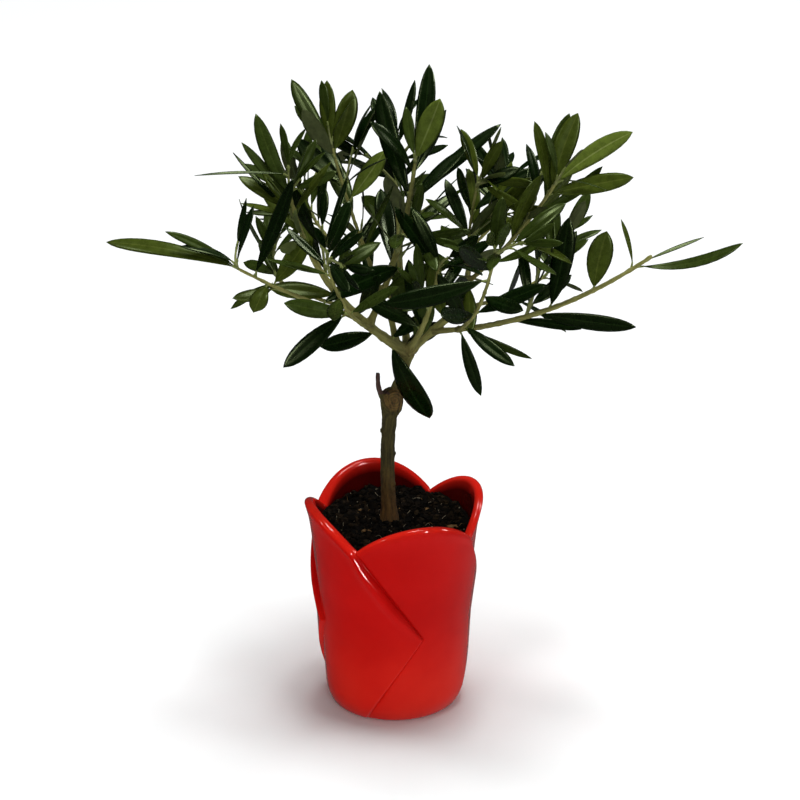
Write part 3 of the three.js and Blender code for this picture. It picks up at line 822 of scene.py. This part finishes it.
def soilPiece():
    rng = random.Random(7)
    gather = Gather()
    turns = [2 * math.pi * j / soil["spokes"] for j in range(soil["spokes"])]
    bed = []
    for i in range(soil["rings"]):
        for turn in turns:
            x, y = spot(soilReach(soil["level"]) * ((i + 0.5) / soil["rings"]), turn)
            bed.append((x, y, soilHeight(x, y)))
    bed += [(*spot(soilReach(z), turn), z) for z in soil["skirt"] for turn in turns]
    gather.add(bed, [face[::-1] for face in ringFaces(len(bed) // len(turns), len(turns))])

    def strewn(count, sizes, power, detail, slots, sunk):
        for _ in range(count):
            turn, radius = rng.uniform(0, 2 * math.pi), math.sqrt(rng.random())
            size = sizes[0] + (sizes[1] - sizes[0]) * rng.random() ** power
            x, y = spot((soilReach(soil["level"]) * 0.97 - size) * radius, turn)
            points, faces = lumpShape(size, (1, rng.uniform(0.6, 1), rng.uniform(0.55, 0.9)), rng, detail)
            place = np.array([x, y, soilHeight(x, y) + size * sunk])
            gather.add(points + place, faces, slots if isinstance(slots, int) else rng.choice(slots))

    strewn(soil["clods"], soil["clodSize"], 2, (9, 12), (0, 0, 1), -0.25)
    strewn(soil["crumbs"], soil["crumbSize"], 2.2, (5, 6), (0, 0, 1, 1, 2), 0.2)
    strewn(soil["grit"], soil["gritSize"], 1.5, (5, 6), 3, 1.0)
    startWithin, endWithin = soil["fibresWithin"]
    for _ in range(soil["fibres"]):
        turn, radius = rng.uniform(0, 360), math.sqrt(rng.random()) * startWithin     # any turn will do
        place = np.array([*spot(radius, turn), 0])
        lead, line = bearing(rng.uniform(0, 360), 0), []
        length, bend = rng.uniform(*soil["fibreLength"]), rng.uniform(-soil["fibreBend"], soil["fibreBend"])
        for step in range(9):
            place = place + lead * length / 8
            lead = turned(lead, up, bend)
            if math.hypot(place[0], place[1]) > endWithin:
                break
            lift = soilHeight(place[0], place[1]) + 0.9 + 1.3 * math.sin(step * 0.7 + turn)
            line.append((place[0], place[1], lift))
        if len(line) > 4:
            gather.addTube(line, np.linspace(0.2, 0.11, len(line)), 5, rng.choice((3, 4)))
    for k in range(soil["chips"]):
        turn, radius = rng.uniform(0, 360), soil["chipsFrom"] + soil["chipsSpread"] * rng.random()
        if k == 0:
            x, y, size = soil["bigChip"]
        else:
            x, y = spot(radius, turn)
            size = rng.uniform(*soil["chipSize"])
        points, faces = lumpShape(size, (1.2, 0.7, 0.3), rng, (5, 8))
        gather.add(points + np.array([x, y, soilHeight(x, y) + 1.3]), faces, 4)
    looks = {"rough": (0.85, 0.98), "bump": 0.6, "depth": 0.0006, "gloss": 0.06}
    return gather.build("soil_bed", [finish(*row, **looks) for row in soil["finishes"]],
                        shadeSmooth=False)


attach(soilPiece(), "soil", "soil")

# Trunk and boughs: tapered limbs grown into one skin, then given the relief of bark.
bark = {
    "voxel": 0.54, "sides": 18, "ringStep": 1.6, "flare": 0.5, "spurFlare": 0.35,
    "sunk": 5, "sunkFlare": 1.12,
    "stretch": 0.14,           # below 1 the grain runs longer along a limb than across it
    "furrow": 1.15, "fissure": 0.26, "youngFissure": 0.1,
    "lumpSize": 3.4, "lump": 0.3, "fleckSize": 0.95, "fleck": 0.12,
    "knots": [(0.5, 190, 1.8), (0.2, 330, 1.5), (0.36, 20, 1.3), (0.93, 200, 2.2), (0.97, 30, 2.4),
              (0.97, 290, 2.0)],
    "nodeEvery": 13, "nodeSwell": 0.16, "nodesBeyond": 18,
    "lowFade": (118, 165), "deadAbove": 203.5,
    "olive": ((86, 79, 41), (37, 34, 16)),
    "blendTo": [("low", (132, 96, 47), (66, 46, 20)), ("young", (150, 149, 86), (106, 105, 50)),
                ("callus", (124, 94, 50), (62, 45, 23)), ("dead", (84, 62, 54), (46, 30, 28))],
}

# The knob where the old leader was cut off: (x, y, z, radius) up to its dished top.
knob = {
    "stations": [(-2.9, 6.4, 184, 4.2), (-2.4, 6.3, 188, 5.2), (-1.6, 6.1, 192, 6.5),
                 (-1.1, 6, 196, 7.1), (-1.2, 5.9, 200, 6.9), (-1.7, 5.8, 203, 6.2),
                 (-2.0, 5.8, 204.6, 5.3), (-2.0, 5.8, 204.2, 3.8), (-2.0, 5.8, 203, 1.8)],
    "sides": 20,
    "trunkInside": (0.62, 0.8), "trunkSlimmed": 0.8,     # the trunk is slimmer where the knob hides it
    "eye": (0.6, 0.6, 200), "reach": 8.5, "ringEvery": 1.45, "ringDepth": 0.26,
    "forkAt": 0.97, "forkReach": 8, "foldEvery": 1.7,
}


def trunkRadius(share):
    return float(np.interp(share, *zip(*trunk["radii"])))


def limbRadius(name, share):
    if name == "trunk":
        low, high = knob["trunkInside"]
        return trunkRadius(share) * (knob["trunkSlimmed"] if low < share < high else 1)
    source, at = limbs[name][:2]
    thick, thin = thickness[name]
    away = share * axes[name].length
    inside = trunkRadius(at) if source == "trunk" else \
        thickness[source][0] + (thickness[source][1] - thickness[source][0]) * at
    collar = bark["flare"] * math.exp(-max(0.0, away - inside) / (1.4 * thick))
    phase = (away % bark["nodeEvery"]) - bark["nodeEvery"] / 2
    node = bark["nodeSwell"] * math.exp(-(phase / 1.3) ** 2) if away > bark["nodesBeyond"] else 0
    if name == "dead_spur":
        collar, node = bark["spurFlare"], 0
    return (thick + (thin - thick) * share) * (1 + collar + node)


def roughBark():
    # the limbs as plain tubes, with places along them and, for each, what the bark needs to know
    gather = Gather()
    places, facts = [], []
    for order, name in enumerate(["trunk", *limbs]):
        axis = axes[name]
        shares = np.linspace(0, 1, max(12, int(axis.length / bark["ringStep"])) + 1)
        radii = [limbRadius(name, share) for share in shares]
        line = [axis.at(share) for share in shares]
        places += line
        for share, radius in zip(shares, radii):
            youth = 0.6 * float(smooth(share, 0.72, 0.95)) if name in ("trunk", "dead_spur") \
                else 0.3 + 0.7 * share ** 0.6
            facts.append((axis.along(share), radius, youth, name == "dead_spur", share * axis.length,
                          axis.along(0.5), order * 9.0))
        if name == "trunk":
            line = [line[0] - up * bark["sunk"]] + line
            radii = [radii[0] * bark["sunkFlare"]] + radii

        def wobble(share, turns, seed=len(places)):
            return 1 + 0.05 * np.sin(2 * turns + seed + share * 5) + 0.03 * np.sin(3 * turns - share * 9)

        gather.addTube(line, radii, bark["sides"], 0, wobble)
    gather.addTube([station[:3] for station in knob["stations"]],
                   [station[3] for station in knob["stations"]], knob["sides"], 0,
                   lambda share, turns: 1 + 0.05 * np.sin(3 * turns + 1))
    rng = random.Random(3)
    for share, heading, size in bark["knots"]:
        centre = axes["trunk"].at(share) + bearing(heading, 0) * (trunkRadius(share) - size * 0.35)
        points, faces = lumpShape(size, (1, 1, 1.25), rng, (7, 10))
        gather.add(points + centre, faces)
    return gather.build("roughBark", []), places, facts


def barkSkin(rough):
    remesh = rough.modifiers.new("skin", "REMESH")
    remesh.mode, remesh.voxel_size = "VOXEL", bark["voxel"] * mm
    soften = rough.modifiers.new("soften", "SMOOTH")
    soften.factor, soften.iterations = 0.5, 3
    shown = rough.evaluated_get(bpy.context.evaluated_depsgraph_get())
    mesh = bpy.data.meshes.new_from_object(shown)
    bpy.data.objects.remove(rough)
    print("bark skin of", len(mesh.polygons), "faces")
    return mesh


def barkPiece():
    rough, places, facts = roughBark()
    mesh = barkSkin(rough)
    nearby = kdtree.KDTree(len(places))
    for i, place in enumerate(places):
        nearby.insert(place, i)
    nearby.balance()
    count = len(mesh.vertices)
    points = np.empty(count * 3)
    mesh.vertices.foreach_get("co", points)
    points = points.reshape(-1, 3) / mm
    normals = np.array([v.normal[:] for v in mesh.vertices])
    grain, moved = np.empty((count, 3)), np.empty(count)
    young, callus, dead = np.zeros(count), np.zeros(count), np.zeros(count)
    eye, fork = np.array(knob["eye"]), axes["trunk"].at(knob["forkAt"])
    for i, point in enumerate(points):
        found = min(nearby.find_n(point, 3), key=lambda hit: hit[2] / facts[hit[1]][1])
        along, _, youth, isDead, gone, lengthwise, apart = facts[found[1]]
        offset = point - places[found[1]]
        gone = gone + np.dot(offset, along)
        flat = offset - along * np.dot(offset, along) + lengthwise * (gone * bark["stretch"] + apart)
        furrow = 1 - 2.2 * abs(noise.noise(Vector(flat / bark["furrow"])))
        lump = noise.noise(Vector(point / bark["lumpSize"]))
        fleck = max(0.0, noise.noise(Vector(point / bark["fleckSize"])) - 0.35) * 2
        depth = bark["fissure"] + (bark["youngFissure"] - bark["fissure"]) * youth
        away = np.linalg.norm(point - eye)
        onKnob = float(smooth(-away, -knob["reach"], -knob["reach"] + 3))
        onFork = float(smooth(-np.linalg.norm(point - fork), -knob["forkReach"], -2))
        rings = math.sin(2 * math.pi * (away + 0.5 * lump) / knob["ringEvery"])
        folds = math.sin(2 * math.pi * (point[0] + 0.6 * lump) / knob["foldEvery"])
        moved[i] = -depth * max(0.0, furrow) * (1 - onKnob) + bark["lump"] * lump * (1 - 0.5 * youth) \
            + bark["fleck"] * fleck + knob["ringDepth"] * (rings * onKnob + folds * onFork)
        grain[i], young[i], dead[i] = flat * mm, youth, isDead and point[2] > bark["deadAbove"]
        callus[i] = max(onKnob * (0.65 + 0.35 * rings), onFork * (0.45 + 0.3 * folds))
    points = (points + normals * moved[:, None]) * mm
    mesh.vertices.foreach_set("co", points.ravel())
    low = 1 - smooth(points[:, 2] / mm, *bark["lowFade"])
    mesh.materials.clear()
    mesh.materials.append(finish(
        "olive bark", *bark["olive"], 700, contrast=3, fleck=0.35, rough=(0.7, 0.9), broad=700,
        fine=2600, fineShare=0.4, bump=0.5, depth=0.0005, gloss=0.15, grain="grain",
        blendTo=bark["blendTo"]))
    return placed("bark", mesh, {"grain": grain, "young": young, "low": low, "callus": callus,
                                 "dead": dead})


attach(barkPiece(), "bark", "trunk", *limbs)

# Young shoots carry on from the boughs, with a stalk to every leaf and a bud at every tip.
shootLook = {
    "sides": 8, "rings": 30, "nodeSwell": 0.3, "stalk": (0.85, 0.55),
    "tipBud": (0.8, 2.6), "sideBud": (0.62, 2),      # radius and length
    "sideBuds": 0.6,                                 # share of the leaves that have one
    "shoot": ((136, 142, 88), (92, 98, 48)), "stalkColours": ((128, 138, 74), (94, 106, 48)),
}


def shootPiece():
    gather = Gather()
    rng = random.Random(11)

    def addBud(start, lead, size, rings, sides, taper, blunt):
        radius, length = size
        t = np.linspace(0, 1, rings)
        radii = radius * np.sqrt(np.maximum(blunt, 1 - t ** taper))
        gather.addTube([start + lead * length * k for k in t], radii, sides, 1)

    for axis, base, tip, nodes in stems:
        shares = np.linspace(0, 1, shootLook["rings"])
        radii = base + (tip - base) * shares
        for node in nodes:
            radii = radii * (1 + shootLook["nodeSwell"] * np.exp(-((shares - node) * axis.length / 1.1) ** 2))
        gather.addTube([axis.at(share) for share in shares], radii, shootLook["sides"], 0,
                       lambda share, turns: 1 + 0.05 * np.cos(4 * turns))
        lead, back = axis.along(1), shootLook["tipBud"][1] * 0.1
        addBud(axis.at(1) - lead * back, lead, shootLook["tipBud"], 7, 7, 1.6, 0.02)
    for leaf in leaves:
        start, stem, lead = leaf["root"], leaf["stem"], leaf["lead"]
        reach = stalkReach(leaf)
        line = bentAxis(start, start + reach * 0.5, start + reach + lead * 0.8, 6).points
        gather.addTube(line, np.linspace(*shootLook["stalk"], len(line)), 6, 1)
        if rng.random() < shootLook["sideBuds"]:
            side = unit(square(lead, stem) + stem * 0.8)
            addBud(start + stem * 1.1 + side * 0.6, side, shootLook["sideBud"], 5, 6, 1.8, 0.03)
    looks = {"rough": (0.5, 0.68), "broad": 300, "fine": 1500, "bump": 0.25, "gloss": 0.2}
    return gather.build("young_shoots", [
        finish("young shoot", *shootLook["shoot"], 420, contrast=2.6, **looks),
        finish("leaf stalk", *shootLook["stalkColours"], 500, **looks),
    ])


attach(shootPiece(), "young_bark")

# Leaf tints are dealt out by shoot: the upper face, the midrib and the paler underside of each.
tints = {
    "deep": ((7, 27, 3), (25, 46, 14), (62, 72, 34)),
    "mid": ((52, 68, 19), (65, 81, 28), (90, 98, 60)),
    "olive": ((73, 87, 24), (89, 101, 36), (96, 108, 56)),
    "fresh": ((103, 121, 44), (134, 148, 76), (120, 136, 72)),
}
leafLook = {
    "dark": 0.6, "scale": 230, "rough": (0.2, 0.36),
    "gloss": {"deep": 0.3, "mid": 0.22, "olive": 0.18, "fresh": 0.14},
    "underRough": (0.6, 0.75), "underGloss": 0.12,
    "shine": (0.8, 1, 0.45, 1),
    "rearFrom": 30,            # a leaf rooted further back than this goes with the rear masses
}


def leafFinishes():
    finishes = []
    for tint, faces in tints.items():
        for part, shade in zip(("top", "rib", "under"), faces):
            under = part == "under"
            finishes.append(finish(
                f"{tint} leaf {part}", shade, [c * leafLook["dark"] for c in shade], leafLook["scale"],
                contrast=1.5, fleck=0.35, rough=leafLook["underRough" if under else "rough"],
                broad=260, fine=1700, fineShare=0.55, bump=0.3, depth=0.0002,
                gloss=leafLook["underGloss"] if under else leafLook["gloss"][tint],
                **{"Specular Tint": leafLook["shine"]}))
    return finishes


def leafPiece(name, chosen, finishes):
    gather = Gather()
    faces, parts = leafFaces()
    kinds = list(tints)
    for leaf in chosen:
        first = 3 * kinds.index(leaf["tint"])
        gather.add(leafBlade(leaf), faces, [first + part for part in parts])
    return gather.build(name, finishes)


leafSkins = leafFinishes()
masses = [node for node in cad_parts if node.startswith("foliage_")]
for name, isRear in (("leaves_front", False), ("leaves_rear", True)):
    chosen = [leaf for leaf in leaves if (leaf["root"][1] > leafLook["rearFrom"]) == isRear]
    stoodFor = [node for node in masses if ("rear" in node) == isRear]
    attach(leafPiece(name, chosen, leafSkins), "foliage", *stoodFor)

# A plain pale floor under one large soft light and a weak one in front, with small panels for
# the glints on the glaze.
studio = {
    "floor": 3.0, "floorColours": ((250, 254, 254), (250, 250, 250)), "world": 0.22, "backdrop": 1.0,
    "mirrored": [(0.08, 0.13), (0.2, 0.09), (0.45, 0.04), (0.6, 0.02)],   # straight down is 0
    "mirroredSides": (0.4, 2.2),        # how much of that shows to the left and to the right
    "aim": (0, 0, 0.15),
    # name: (place, size, power)
    "lights": {
        "above": ((0.26, 0.36, 4.4), 1.5, 190),
        "front": ((0.3, -1.9, 0.8), 0.9, 6.5),
    },
    # panels that only show as highlights
    "panels": {
        "panelFront": ((1.15, -1.3, 0.85), 0.24, 16),
        "panelLeft": ((-1.3, -0.4, 1.2), 0.24, 8),
        "panelRight": ((1.3, 0.4, 0.9), 0.24, 8),
    },
}


def areaLight(name, place, size, power):
    light = bpy.data.lights.new(name, "AREA")
    light.size, light.energy = size, power
    made = addObject(name, light)
    made.location = place
    made.rotation_euler = (Vector(studio["aim"]) - Vector(place)).to_track_quat("-Z", "Y").to_euler()
    return made


half = studio["floor"] / 2
floorMesh = bpy.data.meshes.new("floor")
floorMesh.from_pydata([(-half, -half, 0), (half, -half, 0), (half, half, 0), (-half, half, 0)], [],
                      [(0, 1, 2, 3)])
floorMesh.materials.append(finish("pale floor", *studio["floorColours"], 3, rough=(0.85, 0.9),
                                  bump=0.02, gloss=0.1))
floor = addObject("floor", floorMesh)
floor.visible_glossy = False     # the glaze and the leaves mirror the lights and not the floor

# The room gives an even soft light. What the gloss shows of it is darker, and darkest above.
world = bpy.data.worlds.new("studio")
bpy.context.scene.world = world
world.use_nodes = True
world.cycles.sampling_method = "NONE"       # so that gloss sees the darker room only
room = world.node_tree
rays = addNode(room, "LightPath").outputs
direction = addNode(room, "TexCoord").outputs["Generated"]
split = addNode(room, "SeparateXYZ", {0: direction}).outputs
height = addNode(room, "MapRange", {"Value": split["Z"], "From Min": -1}).outputs["Result"]
ramp = addNode(room, "ValToRGB", {"Fac": height})
stops = ramp.color_ramp.elements
while len(stops) < len(studio["mirrored"]):
    stops.new(0.5)
for stop, (place, grey) in zip(stops, studio["mirrored"]):
    stop.position, stop.color = place, (grey, grey, grey, 1)
left, right = studio["mirroredSides"]
sideways = addNode(room, "MapRange", {"Value": split["X"], "From Min": -1, "To Min": left,
                                      "To Max": right}).outputs["Result"]
mirrored = mathOf(room, "MULTIPLY", ramp.outputs["Color"], sideways)
strength = mixed(room, rays["Is Glossy Ray"], studio["world"], mirrored)
strength = mixed(room, rays["Is Camera Ray"], strength, studio["backdrop"])
background = room.nodes["Background"].inputs
background["Color"].default_value = (1, 1, 1, 1)
room.links.new(strength, background["Strength"])
for name, row in studio["lights"].items():
    areaLight(name, *row).visible_glossy = name != "front"
for name, row in studio["panels"].items():
    areaLight(name, *row).visible_diffuse = False

camera = {"place": (0.0037, -2.0, 1.086), "tip": 66.11, "lens": 162.45, "sensor": 36}
lens = bpy.data.cameras.new("camera")
lens.lens, lens.sensor_width = camera["lens"], camera["sensor"]
viewer = addObject("camera", lens)
viewer.location = camera["place"]
viewer.rotation_euler = (math.radians(camera["tip"]), 0, 0)
bpy.context.scene.camera = viewer
bpy.context.scene.view_settings.view_transform = "Standard"
print("lights and camera placed")
